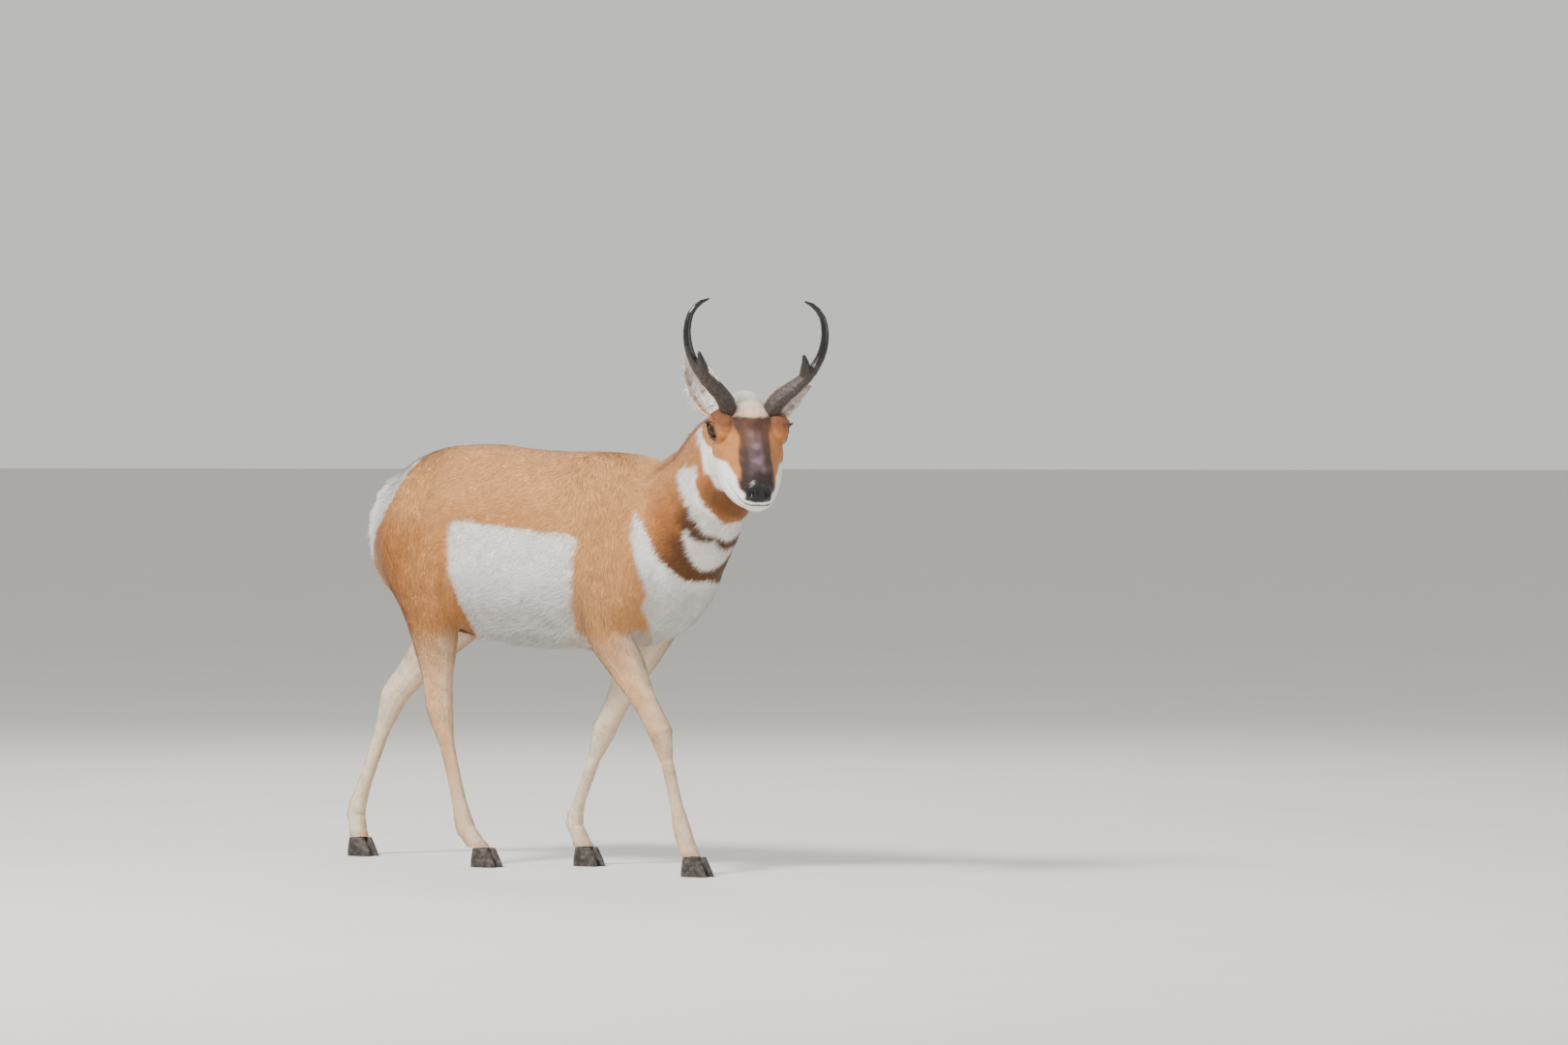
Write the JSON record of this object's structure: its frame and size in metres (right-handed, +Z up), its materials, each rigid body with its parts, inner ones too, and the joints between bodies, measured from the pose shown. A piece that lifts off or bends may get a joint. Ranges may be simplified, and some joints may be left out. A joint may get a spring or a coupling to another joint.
{
  "type": "pronghorn, life-size still model",
  "caption": "Life-size still model of a walking pronghorn buck, head turned to its right, standing on its own hooves; for display, dressing a scene or a museum floor.",
  "frame": {"origin": "centre of the whole model's footprint box, on the floor the hooves stand on", "axes": "+X to the animal's front along its back, +Y to its left, +Z up"},
  "size_m": [1.3817, 0.4249, 1.1764],
  "materials": {
    "coat": "short tan hair with white belly, flank, rump and throat bands, lying flat",
    "nose": "bare black nose skin and lip edges, slightly moist",
    "eye": "wet, almost black eyeball",
    "horn": "black horn sheath, rough and hairy below the prong, smooth and glossy above",
    "hoof": "dark horn of the cleft hooves, fine growth rings, dull"
  },
  "bodies": {
    "root": {"torso": "coat", "neck": "coat", "head": "coat", "tail": "coat", "ear_right": "coat", "ear_left": "coat", "eye_right": "eye", "eye_left": "eye", "horn_right": "horn", "horn_left": "horn", "fore_right_upper": "coat", "fore_right_lower": "coat", "fore_right_cannon": "coat", "fore_right_claw_inner": "hoof", "fore_right_claw_outer": "hoof", "fore_left_upper": "coat", "fore_left_lower": "coat", "fore_left_cannon": "coat", "fore_left_claw_inner": "hoof", "fore_left_claw_outer": "hoof", "hind_right_upper": "coat", "hind_right_lower": "coat", "hind_right_cannon": "coat", "hind_right_claw_inner": "hoof", "hind_right_claw_outer": "hoof", "hind_left_upper": "coat", "hind_left_lower": "coat", "hind_left_cannon": "coat", "hind_left_claw_inner": "hoof", "hind_left_claw_outer": "hoof"}
  },
  "joints": []
}
